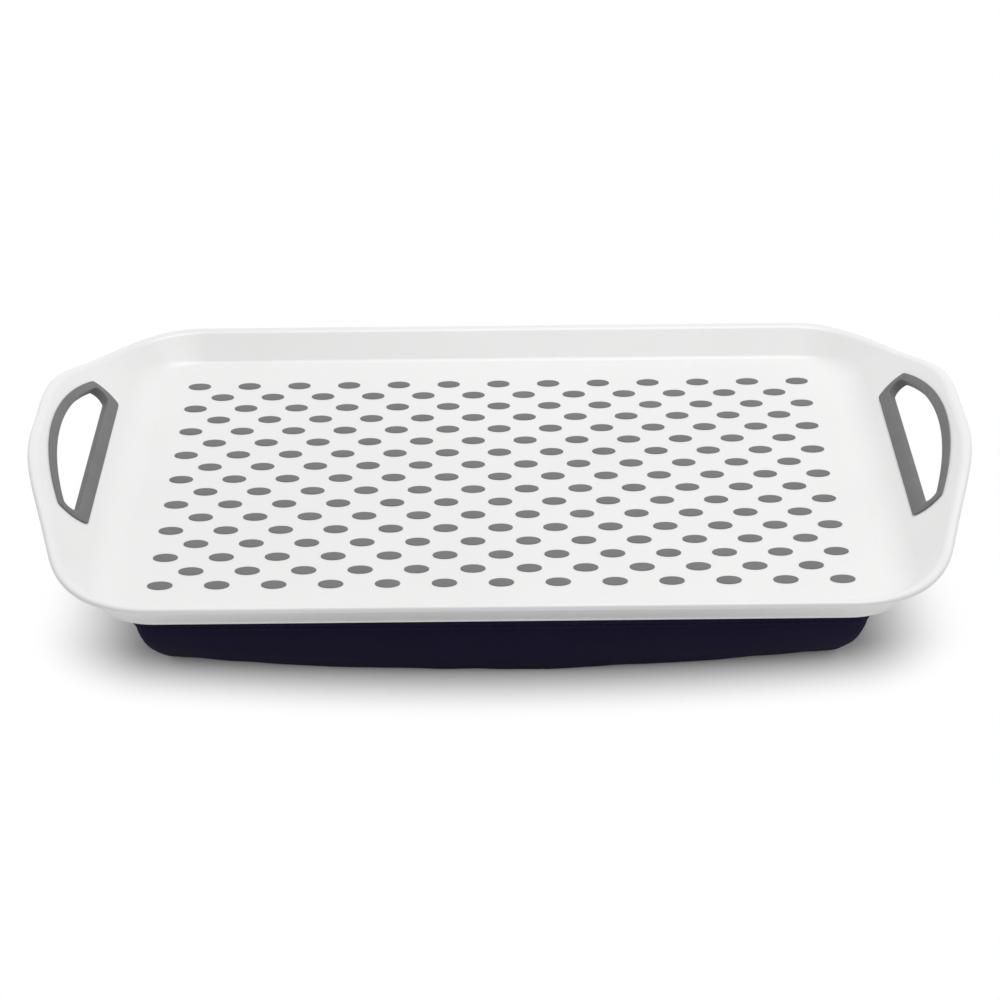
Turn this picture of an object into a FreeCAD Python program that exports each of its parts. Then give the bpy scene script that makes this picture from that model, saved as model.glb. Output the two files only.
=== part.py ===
import FreeCAD, Part
import Sketcher
import math
import os

# Lap tray with cushion. A moulded tray with flared walls, raised ends with hand holes, soft grips
# and rows of anti-slip dots presses onto a bead-filled fabric cushion with touch tape.
# Millimetres, +Z up, X left to right, origin on the table under the middle of the cushion.

# Driving sizes, one cell each in the document's sheet

SIZES = {
    # Tray moulding: inside floor out to where its plane meets the walls, fillet between floor and
    # wall along the sides and at the raised ends, wall and rolled lip
    "floor_length": 352.8,
    "floor_width": 252.8,
    "floor_corner_radius": 26.4,
    "plastic_thickness": 2.8,
    "side_fillet": 5.0,
    "end_fillet": 20.0,
    "wall_angle": 45.0,
    "rim_height": 13.0,
    "lip_radius": 3.4,
    "lip_angle": 10.0,
    "lip_flat": 1.5,
    # Low skirt under the floor's edge, which brings the wall's slope down past the floor
    "skirt_reach": 1.4,
    "skirt_width": 2.2,
    "skirt_depth": 0.4,
    # Raised ends: how far the rim climbs, its level crest and the run of each shoulder
    "handle_rise": 22.3,
    "handle_crest": 40.0,
    "handle_run": 115.0,
    # Soft grip in each hand hole, measured in the plane of the end wall
    "grip_foot_height": 9.6,
    "grip_foot_length": 121.0,
    "grip_length": 125.0,
    "grip_shoulder": 17.0,
    "grip_height": 31.5,
    "grip_end_bow": 2.2,
    "grip_foot_band": 6.4,
    "grip_end_band": 4.2,
    "grip_top_band": 4.9,
    "grip_skin": 0.8,
    "grip_lining": 1.6,
    "grip_clearance": 0.1,
    "grip_corner_radius": 2.5,
    # Anti-slip dots: soft oval pads bonded to the floor in staggered rows
    "dot_length": 11.2,
    "dot_width": 7.1,
    "dot_end_radius": 2.6,
    "dot_thickness": 0.5,
    "dot_margin": 26.4,
    # Touch tape between the tray and the cushion
    "tape_length": 70.0,
    "tape_width": 25.0,
    "tape_inset": 24.0,
    "hook_thickness": 1.0,
    "loop_thickness": 1.0,
    "tape_gap": 0.2,
    # Cushion: cloth cover, hem round its top edge and bead filling
    "cushion_length": 326.0,
    "cushion_width": 242.0,
    "cushion_height": 33.0,
    "cushion_corner_radius": 6.0,
    "cushion_bow": 1.5,
    "foot_side_inset": 9.0,
    "foot_end_inset": 5.0,
    "foot_corner_radius": 5.0,
    "foot_side_bow": 16.0,
    "foot_end_bow": 3.0,
    "cloth_thickness": 1.2,
    "hem_height": 5.3,
    "hem_thickness": 1.2,
    "cloth_clearance": 0.3,
    # How far a cutting body runs past the faces that it cuts
    "overrun": 5.0,
}

# Counts and shares
LONG_ROWS = 9
DOTS_PER_LONG_ROW = 13
# Sections across each end of the tray and round each corner, and rounds that settle a rim height
END_STEPS = 10
CORNER_STEPS = 6
RIM_ROUNDS = 5
# Cushion sections from the foot up, and the power that draws its sides in towards the foot
CUSHION_HEIGHT_SHARES = (0.0, 0.12, 0.3, 0.5, 0.72, 0.88, 1.0)
DRAW_IN_POWER = 2.2
# An edge counts as part of the flat floor within this share of the plastic's thickness
LEVEL_TOLERANCE_SHARE = 0.001

doc = FreeCAD.newDocument("lap_tray")
sheet = doc.addObject("Spreadsheet::Sheet", "Sizes")
for row, (alias, value) in enumerate(SIZES.items(), start=1):
    sheet.set(f"A{row}", alias)
    sheet.set(f"B{row}", str(value))
    sheet.setAlias(f"B{row}", alias)
doc.recompute()


def size(alias):
    return float(sheet.get(alias))


def bind(target, prop, formula):
    """Ties a property to the sheet; names in the formula are the sheet's aliases."""
    words = []
    for word in formula.split():
        words.append(f"Sizes.{word}" if word in SIZES else word)
    target.setExpression(prop, " ".join(words))


def vector(x, y, z=0.0):
    return FreeCAD.Vector(x, y, z)


# Heights of the stack, from the table up

CUSHION_TOP = size("cushion_height")
LOOP_TOP = CUSHION_TOP + size("loop_thickness")
HOOK_BOTTOM = LOOP_TOP + size("tape_gap")
TRAY_BOTTOM = HOOK_BOTTOM + size("hook_thickness")
FLOOR_TOP = TRAY_BOTTOM + size("plastic_thickness")
FLOOR_HALF_LENGTH = size("floor_length") / 2
FLOOR_HALF_WIDTH = size("floor_width") / 2
WALL_ANGLE = math.radians(size("wall_angle"))
LIP_ANGLE = math.radians(size("lip_angle"))


# Tray moulding

def rim_height(y):
    """Height of the rim over the floor: level along the sides, a smooth rise to each handle."""
    share = (abs(y) - size("handle_crest") / 2) / size("handle_run")
    share = min(max(share, 0.0), 1.0)
    return size("rim_height") + size("handle_rise") * (1 + math.cos(math.pi * share)) / 2


def base_fillet(direction):
    """Radius between floor and wall: wide where the wall faces an end, tight where it faces a side."""
    return size("side_fillet") + (size("end_fillet") - size("side_fillet")) * direction.x ** 2


def wall_points(rim, fillet):
    """Corners and arc middles of the wall's section: outward distance and height over the floor."""
    lip = size("lip_radius")
    thick = size("plastic_thickness")

    def slope(angle):
        return vector(math.cos(angle), math.sin(angle))

    def below(angle):
        return vector(math.sin(angle), -math.cos(angle))

    fillet_reach = fillet * math.tan(WALL_ANGLE / 2)
    base_centre = vector(-fillet_reach, fillet)
    base_end = base_centre + below(WALL_ANGLE) * fillet
    lip_start_height = (rim - size("lip_flat") * math.sin(LIP_ANGLE)
                        - lip * (math.cos(LIP_ANGLE) - math.cos(WALL_ANGLE)))
    wall_length = (lip_start_height - base_end.y) / math.sin(WALL_ANGLE)
    lip_start = base_end + slope(WALL_ANGLE) * wall_length
    lip_centre = lip_start + below(WALL_ANGLE) * lip
    lip_end = lip_centre - below(LIP_ANGLE) * lip
    nose_top = lip_end + slope(LIP_ANGLE) * size("lip_flat")
    lip_start_under = lip_start + below(WALL_ANGLE) * thick
    skirt_out = size("skirt_reach")
    skirt_in = skirt_out - size("skirt_width")
    skirt_low = -thick - size("skirt_depth")
    skirt_drop = (lip_start_under.x - skirt_out) * math.tan(WALL_ANGLE)
    half_base = WALL_ANGLE / 2
    half_lip = (WALL_ANGLE + LIP_ANGLE) / 2
    return {
        "floor": vector(-fillet_reach, 0),
        "base_middle": base_centre + below(half_base) * fillet,
        "base_end": base_end,
        "lip_start": lip_start,
        "lip_middle": lip_centre - below(half_lip) * lip,
        "lip_end": lip_end,
        "nose_top": nose_top,
        "nose_front": nose_top + (below(LIP_ANGLE) + slope(LIP_ANGLE)) * (thick / 2),
        "nose_under": nose_top + below(LIP_ANGLE) * thick,
        "lip_end_under": lip_end + below(LIP_ANGLE) * thick,
        "lip_middle_under": lip_centre - below(half_lip) * (lip - thick),
        "lip_start_under": lip_start_under,
        "skirt_top": vector(skirt_out, lip_start_under.y - skirt_drop),
        "skirt_outside": vector(skirt_out, skirt_low),
        "skirt_inside": vector(skirt_in, skirt_low),
        "floor_under": vector(skirt_in, -thick),
    }


def wall_section(foot, direction, rim):
    """Open wire of the wall's skin at one station of the floor's outline."""
    p = {}
    for name, point in wall_points(rim, base_fillet(direction)).items():
        p[name] = foot + direction * point.x + vector(0, 0, FLOOR_TOP + point.y)

    def line(start, end):
        return Part.LineSegment(p[start], p[end]).toShape()

    def arc(start, middle, end):
        return Part.Arc(p[start], p[middle], p[end]).toShape()

    return Part.Wire([
        arc("floor", "base_middle", "base_end"),
        line("base_end", "lip_start"),
        arc("lip_start", "lip_middle", "lip_end"),
        line("lip_end", "nose_top"),
        arc("nose_top", "nose_front", "nose_under"),
        line("nose_under", "lip_end_under"),
        arc("lip_end_under", "lip_middle_under", "lip_start_under"),
        line("lip_start_under", "skirt_top"),
        line("skirt_top", "skirt_outside"),
        line("skirt_outside", "skirt_inside"),
        line("skirt_inside", "floor_under"),
    ])


def rim_at(foot, direction):
    """Rim height at a station, where the rim's own nose sets how far along the end it is."""
    rim = size("rim_height")
    for _ in range(RIM_ROUNDS):
        reach = wall_points(rim, base_fillet(direction))["nose_front"].x
        rim = rim_height(foot.y + direction.y * reach)
    return rim


def wall_skin(stations):
    """Skin of a stretch of wall through its stations: foot points with outward directions."""
    sections = [wall_section(foot, direction, rim_at(foot, direction)) for foot, direction in stations]
    return Part.makeLoft(sections, False, len(sections) == 2)


def tray_moulding():
    """Ends, corners and long sides of wall skin, closed by the two faces of the flat floor."""
    corner = size("floor_corner_radius")
    straight_x = FLOOR_HALF_LENGTH - corner
    straight_y = FLOOR_HALF_WIDTH - corner
    end_stations = []
    for step in range(END_STEPS + 1):
        y = straight_y * (2 * step / END_STEPS - 1)
        end_stations.append((vector(FLOOR_HALF_LENGTH, y), vector(1, 0)))
    corner_stations = []
    for step in range(CORNER_STEPS + 1):
        angle = math.pi / 2 * step / CORNER_STEPS
        direction = vector(math.cos(angle), math.sin(angle))
        corner_stations.append((vector(straight_x, straight_y) + direction * corner, direction))
    side_stations = [(vector(x, FLOOR_HALF_WIDTH), vector(0, 1)) for x in (straight_x, -straight_x)]

    middle, across, along = vector(0, 0), vector(1, 0), vector(0, 1)
    right_end = wall_skin(end_stations)
    back_side = wall_skin(side_stations)
    back_corner = wall_skin(corner_stations)
    front_corner = back_corner.mirror(middle, along)
    stretches = [right_end, back_side, back_side.mirror(middle, along), back_corner, front_corner]
    stretches += [s.mirror(middle, across) for s in (right_end, back_corner, front_corner)]

    faces = [face for stretch in stretches for face in stretch.Faces]
    tolerance = size("plastic_thickness") * LEVEL_TOLERANCE_SHARE
    for level in (FLOOR_TOP, TRAY_BOTTOM):
        edges = [e for stretch in stretches for e in stretch.Edges
                 if abs(e.BoundBox.ZMin - level) < tolerance and abs(e.BoundBox.ZMax - level) < tolerance]
        faces.append(Part.Face(Part.Wire(Part.__sortEdges__(edges))))
    shell = Part.makeShell(faces)
    shell.sewShape(tolerance)
    solid = Part.makeSolid(shell)
    if solid.Volume < 0:
        solid.reverse()
    return solid


# Hand holes and grips, drawn in the plane of the end wall: x along the wall, y up its slope,
# z = 0 on the wall's inside face and pointing into the tray

def wall_placement(side):
    """Frame on the inside face of an end wall, at the grip's foot; side is -1 left, 1 right."""
    out = size("grip_foot_height") / math.tan(WALL_ANGLE)
    origin = vector(side * (FLOOR_HALF_LENGTH + out), 0, FLOOR_TOP + size("grip_foot_height"))
    along = vector(0, -side)
    up = vector(side * math.cos(WALL_ANGLE), 0, math.sin(WALL_ANGLE))
    return FreeCAD.Placement(origin, FreeCAD.Rotation(along, up, along.cross(up), "XYZ"))


def grip_prism(foot_inset, end_inset, top_inset, low, high):
    """Block with a straight foot, bowed ends and an arched top, set in from the grip's edge."""
    foot = size("grip_foot_length") / 2 - end_inset
    reach = size("grip_length") / 2 - end_inset
    shoulder = size("grip_shoulder") - top_inset / 2
    bow = size("grip_end_bow")

    def corner(x, y):
        return vector(x, y, low)

    end_middle = (foot + reach) / 2 + bow
    end_height = (foot_inset + shoulder) / 2
    crown = size("grip_height") - top_inset
    wire = Part.Wire([
        Part.LineSegment(corner(-foot, foot_inset), corner(foot, foot_inset)).toShape(),
        Part.Arc(corner(foot, foot_inset), corner(end_middle, end_height),
                 corner(reach, shoulder)).toShape(),
        Part.Arc(corner(reach, shoulder), corner(0, crown), corner(-reach, shoulder)).toShape(),
        Part.Arc(corner(-reach, shoulder), corner(-end_middle, end_height),
                 corner(-foot, foot_inset)).toShape(),
    ])
    block = Part.Face(wire).extrude(vector(0, 0, high - low))
    upright = [e for e in block.Edges if e.Vertexes[0].Z != e.Vertexes[-1].Z]
    return block.makeFillet(size("grip_corner_radius"), upright)


def opening_prism(lining, low, high):
    """The hole's block: the finger hole itself, or with its lining the hole in the plastic."""
    return grip_prism(size("grip_foot_band") - lining, size("grip_end_band") - lining,
                      size("grip_top_band") - lining, low, high)


def grip():
    """Channel that lines the hole and laps both faces of the wall round it."""
    outside = -size("plastic_thickness")
    skin, clear, past = size("grip_skin"), size("grip_clearance"), size("overrun")
    block = grip_prism(0, 0, 0, outside - clear - skin, clear + skin)
    slot = grip_prism(0, 0, 0, outside - clear, clear).cut(
        opening_prism(size("grip_lining") - clear, outside - past, past))
    return block.cut(opening_prism(0, outside - past, past)).cut(slot)


# Anti-slip dots

def arc_about(centre, radius, start, end):
    return Part.ArcOfCircle(Part.Circle(centre, vector(0, 0, 1), radius), start, end)


def draw_oval(sketch):
    """Oval of four tangent arcs: tight ends of a set radius and long sides that meet them."""
    long, wide, end = size("dot_length") / 2, size("dot_width") / 2, size("dot_end_radius")
    reach = long - end
    side = (reach ** 2 + wide ** 2 - end ** 2) / (2 * (wide - end))
    half_turn = math.atan2(side - wide, reach)
    right = arc_about(vector(reach, 0), end, -half_turn, half_turn)
    top = arc_about(vector(0, wide - side), side, half_turn, math.pi - half_turn)
    left = arc_about(vector(-reach, 0), end, math.pi - half_turn, math.pi + half_turn)
    bottom = arc_about(vector(0, side - wide), side, math.pi + half_turn, 2 * math.pi - half_turn)
    for curve in (right, top, left, bottom):
        sketch.addGeometry(curve)
    for here, there in ((0, 1), (1, 2), (2, 3), (3, 0)):
        sketch.addConstraint(Sketcher.Constraint("Tangent", here, 2, there, 1))
    level, upright = -1, -2
    for curve, axis in ((0, level), (1, upright)):
        sketch.addConstraint(Sketcher.Constraint("PointOnObject", curve, 3, axis))
    sketch.addConstraint(Sketcher.Constraint("Symmetric", 0, 3, 2, 3, level, 1))
    sketch.addConstraint(Sketcher.Constraint("Equal", 1, 3))
    number = sketch.addConstraint(Sketcher.Constraint("Radius", 0, end))
    bind(sketch, f"Constraints[{number}]", "dot_end_radius")
    number = sketch.addConstraint(Sketcher.Constraint("DistanceX", 2, 3, 0, 3, 2 * reach))
    bind(sketch, f"Constraints[{number}]", "dot_length - 2 * dot_end_radius")
    number = sketch.addConstraint(Sketcher.Constraint("Radius", 1, side))
    bind(sketch, f"Constraints[{number}]",
         "( ( dot_length / 2 - dot_end_radius ) ^ 2 + ( dot_width / 2 ) ^ 2 - dot_end_radius ^ 2 )"
         " / ( dot_width - 2 * dot_end_radius )")


def anti_slip_dot():
    """One soft oval pad, drawn once; every dot of the floor is a copy of it."""
    body = doc.addObject("PartDesign::Body", "anti_slip_dot")
    oval = body.newObject("Sketcher::SketchObject", "oval")
    plane = next(f for f in body.Origin.OriginFeatures if f.Role == "XY_Plane")
    oval.AttachmentSupport = [(plane, "")]
    oval.MapMode = "FlatFace"
    draw_oval(oval)
    pad = body.newObject("PartDesign::Pad", "dot_pad")
    pad.Profile = oval
    bind(pad, "Length", "dot_thickness")
    return body


def dot_row(dot, count, y):
    """Copies of the dot in a line, evenly spaced about the middle of the floor."""
    pitch = (size("floor_length") - 2 * size("dot_margin")) / (DOTS_PER_LONG_ROW - 1)
    copies = []
    for place in range(count):
        x = (place - (count - 1) / 2) * pitch
        copies.append(dot.translated(vector(x, y, FLOOR_TOP)))
    return Part.makeCompound(copies)


# Touch tape

def tape(label, side_x, side_y, bottom, thickness):
    """Oblong patch, one at each corner of the cushion's top."""
    patch = doc.addObject("Part::Box", label)
    patch.Label = label
    bind(patch, "Length", "tape_length")
    bind(patch, "Width", "tape_width")
    bind(patch, "Height", thickness)
    for axis, side, span, own in (("x", side_x, "cushion_length", "tape_length"),
                                  ("y", side_y, "cushion_width", "tape_width")):
        middle = f"{side} * ( {span} / 2 - tape_inset - {own} / 2 )"
        bind(patch, f"Placement.Base.{axis}", f"{middle} - {own} / 2")
    bind(patch, "Placement.Base.z", bottom)
    return patch


# Cushion

def cushion_outline(grow, foot_share, z):
    """Closed outline of four bowed sides and four corner arcs, tangent where they meet.
    foot_share goes from the top's outline, 0, to the foot's, 1; grow widens it all round."""

    def between(top, foot):
        return size(top) + (size(foot) - size(top)) * foot_share

    half_length = size("cushion_length") / 2 - size("foot_end_inset") * foot_share + grow
    half_width = size("cushion_width") / 2 - size("foot_side_inset") * foot_share + grow
    corner = between("cushion_corner_radius", "foot_corner_radius") + grow
    side_bow = between("cushion_bow", "foot_side_bow")
    end_bow = between("cushion_bow", "foot_end_bow")
    side_radius = (half_length ** 2 + side_bow ** 2) / (2 * side_bow)
    end_radius = (half_width ** 2 + end_bow ** 2) / (2 * end_bow)
    side_centre = vector(0, half_width - side_radius)
    end_centre = vector(half_length - end_radius, 0)
    # The corner's centre lies a corner radius inside both arcs
    span = end_centre - side_centre
    near, far = side_radius - corner, end_radius - corner
    along = (near ** 2 - far ** 2 + span.Length ** 2) / (2 * span.Length)
    across = math.sqrt(near ** 2 - along ** 2)
    unit = span * (1 / span.Length)
    centre = side_centre + unit * along + vector(unit.y, -unit.x) * across
    side_touch = side_centre + (centre - side_centre).normalize() * side_radius
    end_touch = end_centre + (centre - end_centre).normalize() * end_radius
    bisector = (side_touch - centre).normalize() + (end_touch - centre).normalize()
    corner_middle = centre + bisector.normalize() * corner

    def at(point, sign_x, sign_y):
        return vector(point.x * sign_x, point.y * sign_y, z)

    side_middle = vector(0, half_width)
    end_middle = vector(half_length, 0)
    edges = []
    for sign_x, sign_y in ((1, 1), (-1, 1), (-1, -1), (1, -1)):
        corner_arc = (at(end_touch, sign_x, sign_y), at(corner_middle, sign_x, sign_y),
                      at(side_touch, sign_x, sign_y))
        side_arc = (at(side_touch, 1, sign_y), at(side_middle, 1, sign_y), at(side_touch, -1, sign_y))
        end_arc = (at(end_touch, sign_x, 1), at(end_middle, sign_x, 1), at(end_touch, sign_x, -1))
        if sign_x == sign_y:
            edges.append(Part.Arc(*corner_arc).toShape())
            edges.append(Part.Arc(*(side_arc if sign_y > 0 else side_arc[::-1])).toShape())
        else:
            edges.append(Part.Arc(*corner_arc[::-1]).toShape())
            edges.append(Part.Arc(*(end_arc if sign_x < 0 else end_arc[::-1])).toShape())
    return Part.Wire(edges)


def cushion_form(inset, bottom, top):
    """Filled form, drawn in towards its foot, with its skin set in all round."""
    sections = []
    for height_share in CUSHION_HEIGHT_SHARES:
        foot_share = (1 - height_share) ** DRAW_IN_POWER
        sections.append(cushion_outline(-inset, foot_share, bottom + (top - bottom) * height_share))
    return Part.makeLoft(sections, True, False)


def cushion_slab(grow, bottom, top):
    return Part.Face(cushion_outline(grow, 0, bottom)).extrude(vector(0, 0, top - bottom))


def cushion_bag():
    cloth = size("cloth_thickness")
    seam = CUSHION_TOP - cloth
    return cushion_form(0, 0, seam).cut(cushion_form(cloth, cloth, seam))


def bead_filling():
    room = size("cloth_thickness") + size("cloth_clearance")
    return cushion_form(room, room, CUSHION_TOP - room)


def hem():
    clear = size("cloth_clearance")
    low = CUSHION_TOP - size("hem_height")
    band = cushion_slab(clear + size("hem_thickness"), low, CUSHION_TOP)
    return band.cut(cushion_slab(clear, low - size("overrun"), CUSHION_TOP + size("overrun")))


def feature(label, shape, placement=FreeCAD.Placement()):
    item = doc.addObject("Part::Feature", label)
    item.Label = label
    item.Shape = shape
    item.Placement = placement
    return item


# Assembly

row_pitch = (size("floor_width") - 2 * size("dot_margin")) / (2 * (LONG_ROWS - 1))
dot = anti_slip_dot()
doc.recompute()
rows = []
for number in range(2 * LONG_ROWS - 1):
    y = (number - (LONG_ROWS - 1)) * row_pitch
    row = dot_row(dot.Shape, DOTS_PER_LONG_ROW - number % 2, y)
    rows.append(feature(f"anti_slip_row_{number + 1:02d}", row))

grips = []
openings = []
for side, word in ((-1, "left"), (1, "right")):
    grips.append(feature(f"{word}_handle_grip", grip(), wall_placement(side)))
    hole = opening_prism(size("grip_lining"), -size("plastic_thickness") - size("overrun"),
                         size("overrun"))
    openings.append(feature(f"{word}_hand_hole", hole, wall_placement(side)))

holes = doc.addObject("Part::Compound", "hand_holes")
holes.Links = openings
tray = doc.addObject("Part::Cut", "tray_shell")
tray.Label = "tray_shell"
tray.Base = feature("moulding", tray_moulding())
tray.Tool = holes
pieces = [tray] + grips + rows

for side_y, front_back in ((-1, "front"), (1, "back")):
    for side_x, left_right in ((-1, "left"), (1, "right")):
        place = f"{front_back}_{left_right}"
        pieces.append(tape(f"hook_tape_{place}", side_x, side_y,
                           "cushion_height + loop_thickness + tape_gap", "hook_thickness"))
        pieces.append(tape(f"loop_tape_{place}", side_x, side_y, "cushion_height", "loop_thickness"))

pieces.append(feature("cushion_top_panel",
                      cushion_slab(0, CUSHION_TOP - size("cloth_thickness"), CUSHION_TOP)))
pieces.append(feature("cushion_bag", cushion_bag()))
pieces.append(feature("cushion_hem", hem()))
pieces.append(feature("bead_filling", bead_filling()))
doc.recompute()

# Checks, then one file for each piece

for item in doc.Objects:
    if "Invalid" in item.State or "Error" in item.State:
        raise RuntimeError(f"{item.Label} failed: {item.State}")
for piece in pieces:
    shape = piece.Shape
    if shape.isNull() or not shape.isValid() or not shape.Solids:
        raise RuntimeError(f"{piece.Label} is not a valid solid")
    box = shape.BoundBox
    print(f"{piece.Label}: {len(shape.Solids)} solid, {shape.Volume:.0f} mm3, "
          f"{box.XLength:.1f} x {box.YLength:.1f} x {box.ZLength:.1f} mm, base at {box.ZMin:.1f}")

os.makedirs("parts", exist_ok=True)
for piece in pieces:
    piece.Shape.exportStep(f"parts/{piece.Label}.step")
print(len(pieces), "pieces written")
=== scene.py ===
# %% [markdown]
# # A lap tray on its cushion
# The tray is a white plastic moulding with raised ends, soft grey grips in its hand holes and soft
# grey dots on its floor. It presses with touch tape onto a flat navy cushion filled with beads.
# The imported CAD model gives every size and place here, so each piece is made in metres, and where
# it stands.

# %% Load the frame
import math
import bpy
from mathutils import Matrix, Vector


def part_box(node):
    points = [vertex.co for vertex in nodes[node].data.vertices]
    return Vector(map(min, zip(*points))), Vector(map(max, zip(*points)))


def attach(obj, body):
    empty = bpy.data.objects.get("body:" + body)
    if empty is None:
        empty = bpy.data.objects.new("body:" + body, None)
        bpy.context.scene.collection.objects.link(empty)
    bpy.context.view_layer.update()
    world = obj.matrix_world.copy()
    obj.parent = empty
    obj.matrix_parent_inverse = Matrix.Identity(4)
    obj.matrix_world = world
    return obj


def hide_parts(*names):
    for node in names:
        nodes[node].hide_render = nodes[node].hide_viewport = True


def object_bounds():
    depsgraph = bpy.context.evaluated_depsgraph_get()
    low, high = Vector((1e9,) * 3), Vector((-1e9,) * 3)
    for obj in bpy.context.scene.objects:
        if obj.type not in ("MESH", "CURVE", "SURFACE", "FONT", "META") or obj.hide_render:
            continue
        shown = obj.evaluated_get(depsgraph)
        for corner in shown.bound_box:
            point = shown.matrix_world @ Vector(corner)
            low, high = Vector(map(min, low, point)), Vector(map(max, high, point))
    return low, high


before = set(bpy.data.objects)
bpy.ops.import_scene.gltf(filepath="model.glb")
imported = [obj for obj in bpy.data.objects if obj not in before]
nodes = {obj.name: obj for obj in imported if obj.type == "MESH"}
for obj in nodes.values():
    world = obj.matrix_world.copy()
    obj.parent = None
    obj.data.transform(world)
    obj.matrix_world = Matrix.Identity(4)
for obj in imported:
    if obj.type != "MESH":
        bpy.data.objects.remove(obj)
cad_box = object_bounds()
print("CAD box from", cad_box[0][:], "to", cad_box[1][:])

# %% [markdown]
# ## Working helpers
# Operators act on whatever is selected, and a fresh import is selected all over. So each piece is
# picked alone before anything is done to it. Faces are picked by a small test on their place or
# normal, because nobody is there to click on them. Modifiers are applied at once, so that what is
# left is plain mesh.

# %% Helpers for picking and finishing
SAME_POINT = 1e-6
SHARP_ANGLE = math.radians(50)


def pick(piece):
    """Makes one object the only selected and active one."""
    if bpy.context.object and bpy.context.object.mode != "OBJECT":
        bpy.ops.object.mode_set(mode="OBJECT")
    bpy.ops.object.select_all(action="DESELECT")
    piece.select_set(True)
    bpy.context.view_layer.objects.active = piece


def edit_faces(piece, wanted):
    """Enters edit mode with the faces selected that pass the test."""
    pick(piece)
    bpy.ops.object.mode_set(mode="EDIT")
    bpy.ops.mesh.select_mode(type="FACE")
    bpy.ops.mesh.select_all(action="DESELECT")
    bpy.ops.object.mode_set(mode="OBJECT")
    for face in piece.data.polygons:
        face.select = wanted(face)
    bpy.ops.object.mode_set(mode="EDIT")


def leave_edit():
    bpy.ops.object.mode_set(mode="OBJECT")


def draw_up(rise):
    """Extrudes what is selected straight up, and leaves the new end selected."""
    bpy.ops.mesh.extrude_region_move(TRANSFORM_OT_translate={"value": (0, 0, rise)})


def modify(piece, kind, **settings):
    """Adds a modifier with these settings and applies it."""
    pick(piece)
    modifier = piece.modifiers.new(kind.lower(), kind)
    for setting, value in settings.items():
        setattr(modifier, setting, value)
    bpy.ops.object.modifier_apply(modifier=modifier.name)


def copy_of(node, name):
    """A copy of a CAD node's mesh as a new piece, with its loose triangles merged."""
    piece = bpy.data.objects.new(name, nodes[node].data.copy())
    bpy.context.scene.collection.objects.link(piece)
    piece.data.materials.clear()
    pick(piece)
    bpy.ops.mesh.customdata_custom_splitnormals_clear()
    edit_faces(piece, lambda face: True)
    bpy.ops.mesh.remove_doubles(threshold=SAME_POINT)
    leave_edit()
    return piece


def finish_piece(piece, body, material, smooth_angle, stands_for=()):
    """Smooth shading, one material, and the body that carries the piece."""
    pick(piece)
    bpy.ops.object.shade_smooth_by_angle(angle=math.radians(smooth_angle))
    piece.data.materials.clear()
    piece.data.materials.append(material)
    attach(piece, body)
    if stands_for:
        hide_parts(*stands_for)
    print(piece.name, "has", len(piece.data.polygons), "faces")


bpy.ops.object.select_all(action="DESELECT")
print("helpers ready,", len(nodes), "CAD nodes")

# %% [markdown]
# ## Camera
# A product shot is taken from a little above with a long lens, which keeps the far rim nearly as
# wide as the near one. The camera looks just below the middle of the tray's floor. Its place comes
# from an elevation, an azimuth and a distance. It has the slight roll of a tripod levelled by hand.

# %% Camera
LENS_MM = 99.9
SENSOR_MM = 36.0
ELEVATION = math.radians(28.2)
AZIMUTH = math.radians(-0.17)
ROLL = math.radians(-0.5)
DISTANCE = 1.307
AIM_DROP = 0.011
FLOOR_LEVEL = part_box("anti_slip_row_01")[0].z

back = Vector((math.sin(AZIMUTH) * math.cos(ELEVATION), -math.cos(AZIMUTH) * math.cos(ELEVATION),
               math.sin(ELEVATION)))
right = Vector((math.cos(AZIMUTH), math.sin(AZIMUTH), 0.0))
up = back.cross(right)
place = Vector((0, 0, FLOOR_LEVEL)) + back * DISTANCE - up * AIM_DROP
rolled_right = right * math.cos(ROLL) + up * math.sin(ROLL)
rolled_up = up * math.cos(ROLL) - right * math.sin(ROLL)
turn = Matrix((rolled_right, rolled_up, back)).transposed().to_euler()
bpy.ops.object.camera_add(location=place, rotation=turn)
camera = bpy.context.object
camera.name = "camera"
camera.data.sensor_width = SENSOR_MM
camera.data.lens = LENS_MM
bpy.context.scene.camera = camera
print("camera at", [round(x, 3) for x in place])

# %% [markdown]
# ## Shared effects
# Three effects turn up in more than one finish. Grain is the fine skin of moulded plastic and
# rubber. Weave is the over and under of threads, and its tone is mostly painted shade in the dips
# between them. Patches are the slow, faint changes of tone that keep any large surface from
# looking like flat paint. Each is built once as a node group, with its scale as an input, and
# gives out heights and tones only.

# %% Node helpers
def add(tree, kind, links=(), **values):
    """A node with its settings, and its inputs set to numbers or linked from other sockets."""
    made = tree.nodes.new(kind)
    for setting, value in values.items():
        setattr(made, setting, value)
    for socket, source in dict(links).items():
        if isinstance(source, bpy.types.NodeSocket):
            tree.links.new(source, made.inputs[socket])
        else:
            made.inputs[socket].default_value = source
    return made


def math_node(tree, operation, *sources):
    return add(tree, "ShaderNodeMath", enumerate(sources), operation=operation).outputs[0]


def new_group(name, inputs, outputs):
    """An empty node group with named sockets, and its input and output nodes."""
    tree = bpy.data.node_groups.new(name, "ShaderNodeTree")
    for socket, kind in inputs:
        tree.interface.new_socket(socket, in_out="INPUT", socket_type=kind)
    for socket, kind in outputs:
        tree.interface.new_socket(socket, in_out="OUTPUT", socket_type=kind)
    return tree, tree.nodes.new("NodeGroupInput").outputs, tree.nodes.new("NodeGroupOutput").inputs


VECTOR, VALUE = "NodeSocketVector", "NodeSocketFloat"
print("node helpers ready")

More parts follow.
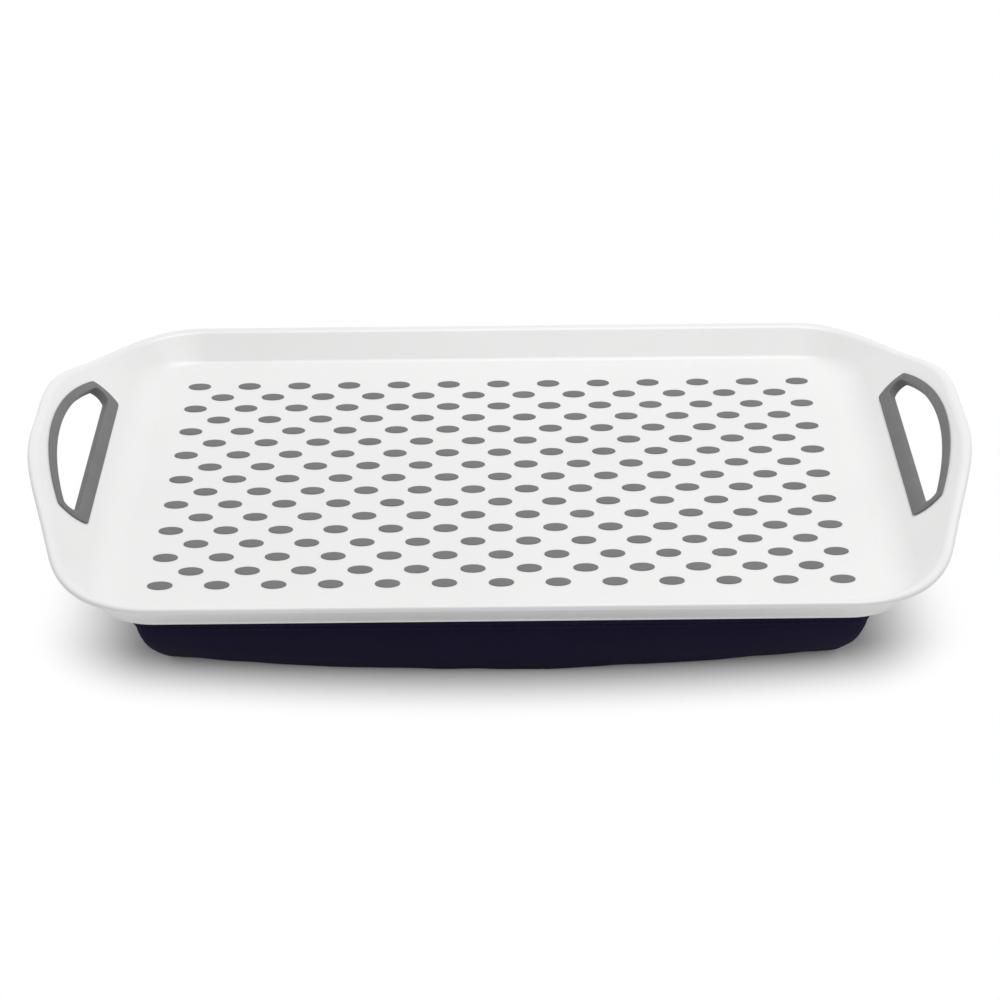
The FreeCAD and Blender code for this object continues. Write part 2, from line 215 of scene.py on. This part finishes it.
# %% Grain: a fine moulded skin
BROAD_SCALE_SHARE = 0.04
grain, given, out = new_group("grain", [("Vector", VECTOR), ("Size", VALUE)],
                              [("Height", VALUE), ("Tone", VALUE)])
per_metre = math_node(grain, "DIVIDE", 1.0, given["Size"])
fine = add(grain, "ShaderNodeTexNoise", {"Vector": given["Vector"], "Scale": per_metre,
                                         "Detail": 2.0, "Roughness": 0.6})
broad = add(grain, "ShaderNodeTexNoise", {"Vector": given["Vector"], "Detail": 3.0,
                                          "Scale": math_node(grain, "MULTIPLY", per_metre,
                                                             BROAD_SCALE_SHARE)})
grain.links.new(fine.outputs["Fac"], out["Height"])
grain.links.new(broad.outputs["Fac"], out["Tone"])
print("group", grain.name)

# %% Patches: slow changes of tone
patches, given, out = new_group("patches", [("Vector", VECTOR), ("Size", VALUE)], [("Tone", VALUE)])
cloud = add(patches, "ShaderNodeTexNoise",
            {"Vector": given["Vector"], "Detail": 2.0,
             "Scale": math_node(patches, "DIVIDE", 1.0, given["Size"])})
spread = add(patches, "ShaderNodeMapRange", {"Value": cloud.outputs["Fac"],
                                             "From Min": 0.3, "From Max": 0.7})
patches.links.new(spread.outputs["Result"], out["Tone"])
print("group", patches.name)

# %% Weave: threads over and under, with painted shade between them
THREAD_SHADE_SHARE = 0.75
weave, given, out = new_group("weave", [("Vector", VECTOR), ("Thread", VALUE)],
                              [("Height", VALUE), ("Tone", VALUE)])
across = add(weave, "ShaderNodeSeparateXYZ", {"Vector": given["Vector"]})
half_turns = math_node(weave, "DIVIDE", math.pi, given["Thread"])
warp = math_node(weave, "SINE", math_node(weave, "MULTIPLY", across.outputs["X"], half_turns))
weft = math_node(weave, "SINE", math_node(weave, "MULTIPLY", across.outputs["Y"], half_turns))
over = math_node(weave, "GREATER_THAN", math_node(weave, "MULTIPLY", warp, weft), 0.0)
warp_round, weft_round = math_node(weave, "ABSOLUTE", warp), math_node(weave, "ABSOLUTE", weft)
warp_top = math_node(weave, "MULTIPLY", warp_round, math_node(weave, "SQRT", weft_round))
weft_top = math_node(weave, "MULTIPLY", weft_round, math_node(weave, "SQRT", warp_round))
height = add(weave, "ShaderNodeMix", {"Factor": over, "A": weft_top, "B": warp_top})
fibre = add(weave, "ShaderNodeTexNoise", {"Vector": given["Vector"], "Scale": 900.0, "Detail": 1.0})
# Its tone is mostly painted shade, dark where a thread dips under the next and light on its crown,
# with a little random fibre tone.
painted_thread_shade = math_node(weave, "MULTIPLY", height.outputs["Result"], THREAD_SHADE_SHARE)
fibre_tone = math_node(weave, "MULTIPLY", fibre.outputs["Fac"], 1 - THREAD_SHADE_SHARE)
tone = math_node(weave, "ADD", painted_thread_shade, fibre_tone)
weave.links.new(height.outputs["Result"], out["Height"])
weave.links.new(tone, out["Tone"])
print("group", weave.name)

# %% [markdown]
# ## Finishes
# Every finish has the same spine. A place on the surface goes through the shared groups, their
# tones mix two near colours and vary the roughness, and their heights make a fine bump. Values that
# hold all over the surface, such as sheen, are set on the shader itself.

# %% A finish from two colours, a roughness range and a bump
def new_finish(name, coordinates="Object"):
    """A material with its shader, and the socket that gives the place on the surface."""
    material = bpy.data.materials.new(name)
    material.use_nodes = True
    tree = material.node_tree
    where = add(tree, "ShaderNodeTexCoord").outputs[coordinates]
    return material, tree, tree.nodes["Principled BSDF"], where


def use_group(tree, group, **inputs):
    return add(tree, "ShaderNodeGroup", {key.title(): inputs[key] for key in inputs},
               node_tree=group).outputs


def two_tones(tree, factor, dark, light):
    mix = add(tree, "ShaderNodeMix", {"Factor": factor}, data_type="RGBA")
    mix.inputs["A"].default_value = (*dark, 1.0)
    mix.inputs["B"].default_value = (*light, 1.0)
    return mix.outputs["Result"]


def vary(tree, factor, low, high):
    return add(tree, "ShaderNodeMapRange", {"Value": factor, "To Min": low,
                                            "To Max": high}).outputs["Result"]


def bump(tree, height, depth):
    return add(tree, "ShaderNodeBump", {"Height": height, "Distance": depth,
                                        "Strength": 1.0}).outputs["Normal"]


print("finish helpers ready")

# %% White plastic, grey rubber
PLASTIC_GLOSS = 0.5


def moulded(name, dark, light, patch_size, grain_size, grain_depth, roughness, gloss=PLASTIC_GLOSS):
    """A moulded finish: faint patches of tone under a fine grain."""
    material, tree, shader, where = new_finish(name)
    patch = use_group(tree, patches, vector=where, size=patch_size)
    skin = use_group(tree, grain, vector=where, size=grain_size)
    tree.links.new(two_tones(tree, patch["Tone"], dark, light), shader.inputs["Base Color"])
    tree.links.new(vary(tree, skin["Tone"], *roughness), shader.inputs["Roughness"])
    tree.links.new(bump(tree, skin["Height"], grain_depth), shader.inputs["Normal"])
    shader.inputs["Specular IOR Level"].default_value = gloss
    return material


white_plastic = moulded("white_plastic", (0.86, 0.86, 0.855), (0.89, 0.89, 0.885), patch_size=0.08,
                        grain_size=0.0009, grain_depth=0.00001, roughness=(0.27, 0.36))
grey_rubber = moulded("grey_rubber", (0.15, 0.15, 0.15), (0.17, 0.17, 0.17), patch_size=0.02,
                      grain_size=0.0005, grain_depth=0.00004, roughness=(0.6, 0.75))
print("finishes", white_plastic.name, grey_rubber.name)

# %% Navy cloth, its thread and the touch tape
NAVY_DARK, NAVY_LIGHT = (0.009, 0.0074, 0.026), (0.02, 0.017, 0.05)
NAVY_THREAD = (0.012, 0.0096, 0.033)
FIBRE_GLOSS = 0.08
FIBRE_ROUGHNESS = (0.95, 0.8)
WEAR_SIZE = 0.06
WEAR_TONES = (0.75, 1.0)


def woven(name, dark, light, thread, depth, sheen):
    """A woven finish on the piece's own unwrapped surface: painted shade between threads, patches
    of wear.
    """
    material, tree, shader, where = new_finish(name, "UV")
    cloth = use_group(tree, weave, vector=where, thread=thread)
    in_space = add(tree, "ShaderNodeTexCoord").outputs["Object"]
    wear = use_group(tree, patches, vector=in_space, size=WEAR_SIZE)
    # The base colour: painted shade between the threads, dimmed further by random patches of wear.
    thread_shade_and_wear = math_node(tree, "MULTIPLY", cloth["Tone"], vary(tree, wear["Tone"], *WEAR_TONES))
    tree.links.new(two_tones(tree, thread_shade_and_wear, dark, light), shader.inputs["Base Color"])
    tree.links.new(vary(tree, cloth["Tone"], *FIBRE_ROUGHNESS), shader.inputs["Roughness"])
    tree.links.new(bump(tree, cloth["Height"], depth), shader.inputs["Normal"])
    shader.inputs["Sheen Weight"].default_value = sheen
    shader.inputs["Specular IOR Level"].default_value = FIBRE_GLOSS
    return material


navy_cloth = woven("navy_cloth", NAVY_DARK, NAVY_LIGHT, thread=0.00042, depth=0.00012, sheen=0.03)
loop_pile = woven("loop_pile", (0.004, 0.004, 0.006), (0.016, 0.016, 0.02), thread=0.0008,
                  depth=0.0003, sheen=0.25)
navy_thread = moulded("navy_thread", NAVY_DARK, NAVY_THREAD, patch_size=0.01, grain_size=0.0003,
                      grain_depth=0.00005, roughness=(0.85, 0.95), gloss=FIBRE_GLOSS)
hook_nylon = moulded("hook_nylon", (0.01, 0.01, 0.011), (0.022, 0.022, 0.024), patch_size=0.01,
                     grain_size=0.0011, grain_depth=0.0005, roughness=(0.4, 0.55))
print("finishes", navy_cloth.name, loop_pile.name, navy_thread.name, hook_nylon.name)

# %% [markdown]
# ## Tray
# The CAD moulding already has the wall's slope, the rolled lip and the rise to each handle, so its
# mesh stays as it is and only takes the finish.

# %% Tray finish
tray = nodes["tray_shell"]
tray.data.materials.clear()
tray.data.materials.append(white_plastic)
print("tray finished,", len(tray.data.polygons), "triangles")

# %% [markdown]
# ## Grips
# Each hand hole is lined with a soft channel that laps both faces of the wall. Its solid has the
# right outline but knife-sharp edges, and rubber is never sharp. A copy of it gets its flat faces
# joined back into single faces, and then a small bevel all along its edges.

# %% Grips
GRIP_EDGE = 0.00035
FLAT_ANGLE = math.radians(1.0)
for side in ("left", "right"):
    node = f"{side}_handle_grip"
    grip = copy_of(node, f"{side}_grip")
    edit_faces(grip, lambda face: True)
    bpy.ops.mesh.dissolve_limited(angle_limit=FLAT_ANGLE)
    leave_edit()
    modify(grip, "BEVEL", width=GRIP_EDGE, segments=3, limit_method="ANGLE",
           angle_limit=SHARP_ANGLE)
    finish_piece(grip, "tray", grey_rubber, smooth_angle=40, stands_for=[node])

# %% [markdown]
# ## Anti-slip dots
# The floor carries staggered rows of soft oval dots, each a shallow pad with a rounded top. One dot
# is modelled from a flat disc: stretched to an oval, drawn up, and its top narrowed and lifted in
# two steps. An array then repeats it along each row. The spacing is the difference in length
# between a long row and a short one.

# %% One dot
dot_rows = sorted(name for name in nodes if name.startswith("anti_slip_row"))


def extent(node):
    low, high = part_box(node)
    return high - low


GAPS_IN_LONG_ROW = 12
DOT_PITCH = extent(dot_rows[0]).x - extent(dot_rows[1]).x
DOT_LENGTH = extent(dot_rows[0]).x - GAPS_IN_LONG_ROW * DOT_PITCH
DOT_WIDTH = extent(dot_rows[0]).y
DOT_HEIGHT = extent(dot_rows[0]).z
DOT_SIDE_SHARE = 0.6
DOT_STEPS = ((0.88, 0.9), (0.6, 1.08))


def make_dot(name, place):
    """A domed oval pad standing at a place; its steps are shares of its width and height."""
    bpy.ops.object.select_all(action="DESELECT")
    bpy.ops.mesh.primitive_circle_add(vertices=32, radius=0.5, fill_type="NGON", location=(0, 0, 0))
    dot = bpy.context.object
    dot.name = name
    bpy.ops.object.mode_set(mode="EDIT")
    bpy.ops.transform.resize(value=(DOT_LENGTH, DOT_WIDTH, 1))
    reached_width, reached_height = 1.0, DOT_SIDE_SHARE
    draw_up(DOT_SIDE_SHARE * DOT_HEIGHT)
    for width_share, height_share in DOT_STEPS:
        draw_up((height_share - reached_height) * DOT_HEIGHT)
        narrower = width_share / reached_width
        bpy.ops.transform.resize(value=(narrower, narrower, 1))
        reached_width, reached_height = width_share, height_share
    bpy.ops.mesh.select_all(action="SELECT")
    bpy.ops.mesh.normals_make_consistent(inside=False)
    bpy.ops.transform.translate(value=place)
    leave_edit()
    return dot


print(f"dot {DOT_LENGTH * 1000:.1f} x {DOT_WIDTH * 1000:.1f} mm every {DOT_PITCH * 1000:.1f} mm")

# %% Rows of dots
for node in dot_rows:
    low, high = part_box(node)
    first = (low.x + DOT_LENGTH / 2, (low.y + high.y) / 2, low.z)
    row = make_dot(node.replace("anti_slip_row", "dot_row"), first)
    count = round((high.x - low.x - DOT_LENGTH) / DOT_PITCH) + 1
    modify(row, "ARRAY", count=count, use_relative_offset=False, use_constant_offset=True,
           constant_offset_displace=(DOT_PITCH, 0, 0))
    finish_piece(row, "tray", grey_rubber, smooth_angle=50, stands_for=[node])

# %% [markdown]
# ## Cushion
# The cushion is a cloth bag filled with loose beads: flat where it lies on the table and where the
# tray presses on it, and full along its sides. Its form could be drawn by hand, but cloth under
# pressure finds it better. So a copy of the filling's solid is grown to the bag's size, remeshed
# into even squares and smoothed a little. Its ends are sloped in towards the foot. Then it is blown
# up as cloth, with the seam round its top held in place and a limit on how far each point may move.
# Soft dents follow, and the table and the tray are kept as hard stops.

# %% Even mesh
COVER_THICKNESS = 0.0012
VOXEL = 0.004
SMOOTH_ROUNDS = 2
cushion = copy_of("bead_filling", "cushion")
modify(cushion, "DISPLACE", strength=COVER_THICKNESS, mid_level=0.0)
cushion.data.remesh_voxel_size = VOXEL
pick(cushion)
bpy.ops.object.voxel_remesh()
modify(cushion, "SMOOTH", factor=0.5, iterations=SMOOTH_ROUNDS)
fill_low, fill_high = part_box("bead_filling")
print("cushion remeshed to", len(cushion.data.vertices), "points")

# %% Ends that slope in towards the foot
FOOT_BAND = 0.004
FOOT_LENGTH_SHARE = 0.970
FOOT_WIDTH_SHARE = 1.02
edit_faces(cushion, lambda face: face.center.z < fill_low.z + FOOT_BAND)
bpy.ops.transform.resize(value=(FOOT_LENGTH_SHARE, FOOT_WIDTH_SHARE, 1), center_override=(0, 0, 0),
                         use_proportional_edit=True, proportional_edit_falloff="LINEAR",
                         proportional_size=fill_high.z - fill_low.z)
leave_edit()
print("foot drawn in to", FOOT_LENGTH_SHARE, "of its length")

# %% The seam that stays in place
SEAM_BAND = 0.005


def near_seam(point):
    """True in the narrow band along the top edge, where the cover is sewn."""
    past_ends = abs(point.x) > fill_high.x - SEAM_BAND
    past_sides = abs(point.y) > fill_high.y - SEAM_BAND
    return point.z > fill_high.z - SEAM_BAND and (past_ends or past_sides)


seam = cushion.vertex_groups.new(name="seam")
seam_points = [v.index for v in cushion.data.vertices if near_seam(v.co)]
seam.add(seam_points, 1.0, "REPLACE")
print("seam holds", len(seam_points), "points")

# %% Blow up the cloth
SWELL_FRAMES = 20
SWELL_PRESSURE = 1.5
SWELL_LIMIT = 0.003
CLOTH_STRETCH = 200.0
CLOTH_BEND = 10.0


def swell(piece, pinned):
    """Runs the cloth for a few frames, applies it, and draws far points back to the limit."""
    start = [v.co.copy() for v in piece.data.vertices]
    pick(piece)
    cloth = piece.modifiers.new("cloth", "CLOTH")
    cloth.settings.use_pressure = True
    cloth.settings.uniform_pressure_force = SWELL_PRESSURE
    cloth.settings.effector_weights.gravity = 0.0
    cloth.settings.tension_stiffness = CLOTH_STRETCH
    cloth.settings.compression_stiffness = CLOTH_STRETCH
    cloth.settings.bending_stiffness = CLOTH_BEND
    cloth.settings.vertex_group_mass = pinned.name
    cloth.point_cache.frame_end = SWELL_FRAMES
    for number in range(1, SWELL_FRAMES + 1):
        bpy.context.scene.frame_set(number)
    bpy.ops.object.modifier_apply(modifier=cloth.name)
    bpy.context.scene.frame_set(1)
    furthest = 0.0
    for vertex, origin in zip(piece.data.vertices, start):
        move = vertex.co - origin
        furthest = max(furthest, move.length)
        if move.length > SWELL_LIMIT:
            vertex.co = origin + move.normalized() * SWELL_LIMIT
    print(f"cloth moved up to {furthest * 1000:.1f} mm before the limit")


swell(cushion, seam)

# %% Soft dents, then the stops
DENT_SIZE = 0.035
DENT_DEPTH = 0.0016
TAPE_MARGIN = 0.003
TAPE_SLOPE = 0.016
TRAY_CLEARANCE = 0.0003
FACING_UP = 0.5
dents = bpy.data.textures.new("bead_dents", "CLOUDS")
dents.noise_scale = DENT_SIZE
modify(cushion, "DISPLACE", texture=dents, texture_coords="LOCAL", strength=DENT_DEPTH,
       mid_level=0.5)
modify(cushion, "SUBSURF", levels=1, render_levels=1)

loop_nodes = sorted(name for name in nodes if name.startswith("loop_tape"))
patch_boxes = [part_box(name) for name in loop_nodes]
patch_level = patch_boxes[0][0].z
tray_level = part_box("hook_tape_front_left")[1].z - TRAY_CLEARANCE


def pressed(point):
    """Height of the cushion's top: flat under the sewn patches, and clear of the tray elsewhere."""
    nearest = min(math.hypot(max(a.x - point.x, 0, point.x - b.x),
                             max(a.y - point.y, 0, point.y - b.y)) for a, b in patch_boxes)
    share = min(max((nearest - TAPE_MARGIN) / TAPE_SLOPE, 0.0), 1.0)
    share = share * share * (3 - 2 * share)
    return patch_level + (min(point.z, tray_level) - patch_level) * share


on_top = [v for v in cushion.data.vertices
          if v.normal.z > FACING_UP and v.co.z > fill_high.z - SEAM_BAND]
for vertex in on_top:
    vertex.co.z = pressed(vertex.co)
for vertex in cushion.data.vertices:
    vertex.co.z = max(vertex.co.z, 0.0)
heights = [v.co.z for v in cushion.data.vertices]
print(f"cushion stands from {min(heights) * 1000:.1f} to {max(heights) * 1000:.1f} mm")

# %% Unwrap and dress the cushion
def unwrap(piece):
    """Lays the surface flat by its six main directions, in metres, so a weave keeps its size."""
    edit_faces(piece, lambda face: True)
    bpy.ops.uv.cube_project(cube_size=1.0, correct_aspect=False)
    leave_edit()


unwrap(cushion)
finish_piece(cushion, "cushion", navy_cloth, smooth_angle=60,
             stands_for=["cushion_bag", "cushion_top_panel", "bead_filling"])

# %% [markdown]
# ## Hem
# Round the cushion's top edge runs a hem, a narrow band where the top panel and the bag are folded
# together and sewn. Its line is taken from the CAD hem: the outer wall is pressed flat into one
# closed line. The band is that line drawn up in small steps, folded in over the top panel,
# thickened and rounded. Its ends lean in towards the foot, as the bag's do. The seam's stitches
# follow the same line.

# %% The hem's line
HEM_CUTS = 6
HEM_DRAWN_IN = 0.003
UPRIGHT = 0.1
HEM_SAME_POINT = 1e-5
hem_low, hem_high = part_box("cushion_hem")


def hem_line(name, level):
    """The hem's outer edge at a level as one closed line, with its ends drawn in."""
    drawn_in = HEM_DRAWN_IN * (hem_high.z - level) / (hem_high.z - hem_low.z)
    line = copy_of("cushion_hem", name)
    edit_faces(line, lambda face: abs(face.normal.z) >= UPRIGHT
               or face.normal.dot(face.center) <= 0)
    bpy.ops.mesh.delete(type="FACE")
    bpy.ops.mesh.select_mode(type="EDGE")
    bpy.ops.mesh.select_all(action="SELECT")
    bpy.ops.transform.resize(value=(1 - drawn_in / hem_high.x, 1, 0), center_override=(0, 0, level))
    bpy.ops.mesh.remove_doubles(threshold=HEM_SAME_POINT)
    bpy.ops.mesh.select_all(action="SELECT")
    bpy.ops.mesh.subdivide(number_cuts=HEM_CUTS)
    leave_edit()
    return line


hem = hem_line("hem", hem_low.z)
print("hem line has", len(hem.data.vertices), "points")

# %% The hem's band
HEM_THICKNESS = 0.0012
HEM_STEPS = 4
HEM_FOLDS = ((0.003, 0.0), (0.003, -0.001))
HEM_WAVE = 0.0005
HEM_EDGE = 0.0004
pick(hem)
bpy.ops.object.mode_set(mode="EDIT")
bpy.ops.mesh.select_mode(type="EDGE")
bpy.ops.mesh.select_all(action="SELECT")
for step in range(HEM_STEPS):
    draw_up((hem_high.z - hem_low.z) / HEM_STEPS)
    bpy.ops.transform.resize(value=(1 + HEM_DRAWN_IN / HEM_STEPS / hem_high.x, 1, 1),
                             center_override=(0, 0, 0))
for reach, rise in HEM_FOLDS:
    draw_up(rise)
    bpy.ops.transform.resize(value=(1 - reach / hem_high.x, 1 - reach / hem_high.y, 1),
                             center_override=(0, 0, 0))
bpy.ops.mesh.select_all(action="SELECT")
bpy.ops.mesh.normals_make_consistent(inside=False)
leave_edit()
first = hem.data.polygons[0]
outward = 1 if first.normal.dot(first.center) > 0 else -1
modify(hem, "SOLIDIFY", thickness=HEM_THICKNESS, offset=-outward)
modify(hem, "DISPLACE", texture=dents, strength=HEM_WAVE, mid_level=0.5, texture_coords="LOCAL")
modify(hem, "BEVEL", width=HEM_EDGE, segments=2, limit_method="ANGLE", angle_limit=SHARP_ANGLE)
edit_faces(hem, lambda face: True)
bpy.ops.mesh.normals_make_consistent(inside=False)
leave_edit()
unwrap(hem)
finish_piece(hem, "cushion", navy_cloth, smooth_angle=50, stands_for=["cushion_hem"])

# %% [markdown]
# ## Stitches
# A row of stitches is one short, round-ended piece of thread, repeated along a path. An array
# modifier fitted to the path's length makes the row, and a curve modifier bends it round the path.

# %% Sew along a path
THREAD_SIZE = 0.00045
END_INSET_SHARE = 0.22
END_ROUND_SHARE = 0.3
FACING_ALONG = 0.9
HEM_STITCH = 0.0030
HEM_STITCH_GAP = 0.0011
HEM_STITCH_RISE = 0.0013


def sew(name, path, length, gap, body):
    """A row of stitches along an edge line, which is used up."""
    pick(path)
    bpy.ops.object.convert(target="CURVE")
    path = bpy.context.object
    bpy.ops.object.select_all(action="DESELECT")
    bpy.ops.mesh.primitive_cylinder_add(vertices=6, radius=THREAD_SIZE / 2, depth=length,
                                        location=((length + gap) / 2, 0, 0),
                                        rotation=(0, math.pi / 2, 0))
    row = bpy.context.object
    row.name = name
    bpy.ops.object.transform_apply(location=True, rotation=True, scale=True)
    edit_faces(row, lambda face: abs(face.normal.x) > FACING_ALONG)
    bpy.ops.mesh.inset(thickness=THREAD_SIZE * END_INSET_SHARE, depth=THREAD_SIZE * END_ROUND_SHARE,
                       use_individual=True)
    leave_edit()
    modify(row, "ARRAY", fit_type="FIT_CURVE", curve=path, use_relative_offset=False,
           use_constant_offset=True, constant_offset_displace=(length + gap, 0, 0))
    modify(row, "CURVE", object=path, deform_axis="POS_X")
    bpy.data.objects.remove(path)
    finish_piece(row, body, navy_thread, smooth_angle=60)


hem_path = hem_line("hem_path", hem_low.z + HEM_STITCH_RISE)
sew("hem_stitches", hem_path, HEM_STITCH, HEM_STITCH_GAP, "cushion")

# %% [markdown]
# ## Touch tape
# Four loop patches are sewn to the cushion's top, and four hook patches are stuck under the tray.
# They show when the tray is lifted off. Each is a thin block with rounded corners, and the loop
# patches have a line of stitches just inside their edge.

# %% Patches
PATCH_CORNER = 0.002
PATCH_EDGE = 0.0003
PATCH_STITCH = 0.0026
PATCH_STITCH_GAP = 0.0009
STITCH_INSET = 0.0022


def patch(node, name):
    """A thin block of the node's size and place, with round corners and soft edges."""
    low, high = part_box(node)
    bpy.ops.object.select_all(action="DESELECT")
    bpy.ops.mesh.primitive_cube_add(size=1, location=(low + high) / 2, scale=high - low)
    piece = bpy.context.object
    piece.name = name
    bpy.ops.object.transform_apply(location=True, rotation=True, scale=True)
    bpy.ops.object.mode_set(mode="EDIT")
    bpy.ops.mesh.select_mode(type="EDGE")
    bpy.ops.mesh.select_all(action="DESELECT")
    leave_edit()
    points = piece.data.vertices
    for edge in piece.data.edges:
        a, b = (points[i].co for i in edge.vertices)
        edge.select = abs(a.z - b.z) > (high.z - low.z) / 2
    bpy.ops.object.mode_set(mode="EDIT")
    bpy.ops.mesh.bevel(offset=PATCH_CORNER, segments=4, affect="EDGES")
    leave_edit()
    modify(piece, "BEVEL", width=PATCH_EDGE, segments=2, limit_method="ANGLE",
           angle_limit=SHARP_ANGLE)
    unwrap(piece)
    return piece


def patch_line(name, node):
    """A rectangle of edges a little inside a patch's outline, on its top."""
    low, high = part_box(node)
    middle = Vector(((low.x + high.x) / 2, (low.y + high.y) / 2, high.z))
    span = (high.x - low.x - 2 * STITCH_INSET, high.y - low.y - 2 * STITCH_INSET, 1)
    bpy.ops.object.select_all(action="DESELECT")
    bpy.ops.mesh.primitive_plane_add(size=1, location=middle)
    line = bpy.context.object
    line.name = name
    line.scale = span
    bpy.ops.object.transform_apply(location=True, rotation=True, scale=True)
    edit_faces(line, lambda face: True)
    bpy.ops.mesh.delete(type="ONLY_FACE")
    leave_edit()
    return line


for node in loop_nodes:
    corner = node.removeprefix("loop_tape_")
    finish_piece(patch(node, f"loop_patch_{corner}"), "cushion", loop_pile,
                 smooth_angle=50, stands_for=[node])
    patch_path = patch_line(f"patch_path_{corner}", node)
    sew(f"patch_stitches_{corner}", patch_path, PATCH_STITCH, PATCH_STITCH_GAP, "cushion")
    hook_node = f"hook_tape_{corner}"
    finish_piece(patch(hook_node, f"hook_patch_{corner}"), "tray", hook_nylon,
                 smooth_angle=50, stands_for=[hook_node])

# %% [markdown]
# ## Floor, light and white surround
# A large soft box hangs over the tray, a little to the back and right, and a bright surround fills
# the shade. Both together light a level surface so that a colour comes out about as it is written.
# A catalogue picture keeps only the shadow close to the object, and the rest of the floor is plain
# white. So rays from the camera see the pale floor fade into white light of strength 1, from the
# cushion's foot outwards. The light itself meets a plain pale floor everywhere, and the object gets
# no more of it. The surround is white to the camera in the same way.

# %% What the camera sees directly
def seen_directly(tree):
    """1 for rays from the camera and for mirror-like rays, 0 for the light itself."""
    path = add(tree, "ShaderNodeLightPath").outputs
    return math_node(tree, "MAXIMUM", path["Is Camera Ray"],
                     math_node(tree, "MAXIMUM", path["Is Glossy Ray"], path["Is Transmission Ray"]))


def vector_node(tree, operation, *sources):
    return add(tree, "ShaderNodeVectorMath", enumerate(sources), operation=operation).outputs


print("ray helpers ready")

# %% Floor
FLOOR_SIZE = 8.0
FLOOR_PALE = (0.93, 0.93, 0.93, 1)
PLAIN_WHITE = (1, 1, 1, 1)
FADE_INSIDE_CUSHION = Vector((0.010, 0.021))
FADE_PAST_TRAY = Vector((0.0, 0.011))
FADE_BOW = 0.013
bpy.ops.object.select_all(action="DESELECT")
bpy.ops.mesh.primitive_plane_add(size=FLOOR_SIZE, location=(0, 0, 0))
floor = bpy.context.object
floor.name = "studio_floor"

fade_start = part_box("cushion_bag")[1].xy - FADE_INSIDE_CUSHION
fade_span = cad_box[1].xy + FADE_PAST_TRAY - fade_start
floor_finish = bpy.data.materials.new("studio_floor")
floor_finish.use_nodes = True
tree = floor_finish.node_tree
tree.nodes.remove(tree.nodes["Principled BSDF"])
from_middle = vector_node(tree, "ABSOLUTE", add(tree, "ShaderNodeTexCoord").outputs["Object"])
along = add(tree, "ShaderNodeSeparateXYZ", {"Vector": from_middle["Vector"]}).outputs
bowed = math_node(tree, "MULTIPLY_ADD", math_node(tree, "POWER", along["X"], 2.0),
                  FADE_BOW / fade_start.x ** 2, along["Y"])
bowed_place = add(tree, "ShaderNodeCombineXYZ", {"X": along["X"], "Y": bowed}).outputs["Vector"]
past_start = vector_node(tree, "SUBTRACT", bowed_place, (*fade_start, 0))
outside = vector_node(tree, "MAXIMUM", past_start["Vector"], (0, 0, 0))
fade_share = vector_node(tree, "DIVIDE", outside["Vector"], (*fade_span, 1))
fade_reach = vector_node(tree, "LENGTH", fade_share["Vector"])
fade = add(tree, "ShaderNodeMapRange", {"Value": fade_reach["Value"]},
           interpolation_type="SMOOTHSTEP").outputs["Result"]
matt = add(tree, "ShaderNodeBsdfDiffuse", {"Color": FLOOR_PALE})
glow = add(tree, "ShaderNodeEmission", {"Color": PLAIN_WHITE, "Strength": 1.0})
faded = add(tree, "ShaderNodeMixShader", {0: math_node(tree, "MULTIPLY", fade, seen_directly(tree)),
                                          1: matt.outputs[0], 2: glow.outputs[0]})
tree.links.new(faded.outputs[0], tree.nodes["Material Output"].inputs["Surface"])
floor.data.materials.append(floor_finish)
print("floor fades over", [round(1000 * span) for span in fade_span], "mm")

# %% Surround and soft box
SURROUND_STRENGTH = 0.44
BOX_SIZE = 1.0
BOX_PLACE = Vector((0.2, 0.15, 1.5))
BOX_WATTS = 13.5
world = bpy.data.worlds.new("studio")
world.use_nodes = True
tree = world.node_tree
fill = tree.nodes["Background"]
fill.inputs["Color"].default_value = PLAIN_WHITE
fill.inputs["Strength"].default_value = SURROUND_STRENGTH
white = add(tree, "ShaderNodeBackground", {"Color": PLAIN_WHITE, "Strength": 1.0})
both = add(tree, "ShaderNodeMixShader", {0: seen_directly(tree), 1: fill.outputs[0],
                                         2: white.outputs[0]})
tree.links.new(both.outputs[0], tree.nodes["World Output"].inputs["Surface"])
bpy.context.scene.world = world

aim = (-BOX_PLACE).to_track_quat("-Z", "Y").to_euler()
bpy.ops.object.light_add(type="AREA", location=BOX_PLACE, rotation=aim)
soft_box = bpy.context.object
soft_box.name = "soft_box"
soft_box.data.size = BOX_SIZE
soft_box.data.energy = BOX_WATTS
bpy.context.scene.view_settings.view_transform = "Standard"
print("soft box of", BOX_WATTS, "W and a surround of", SURROUND_STRENGTH)
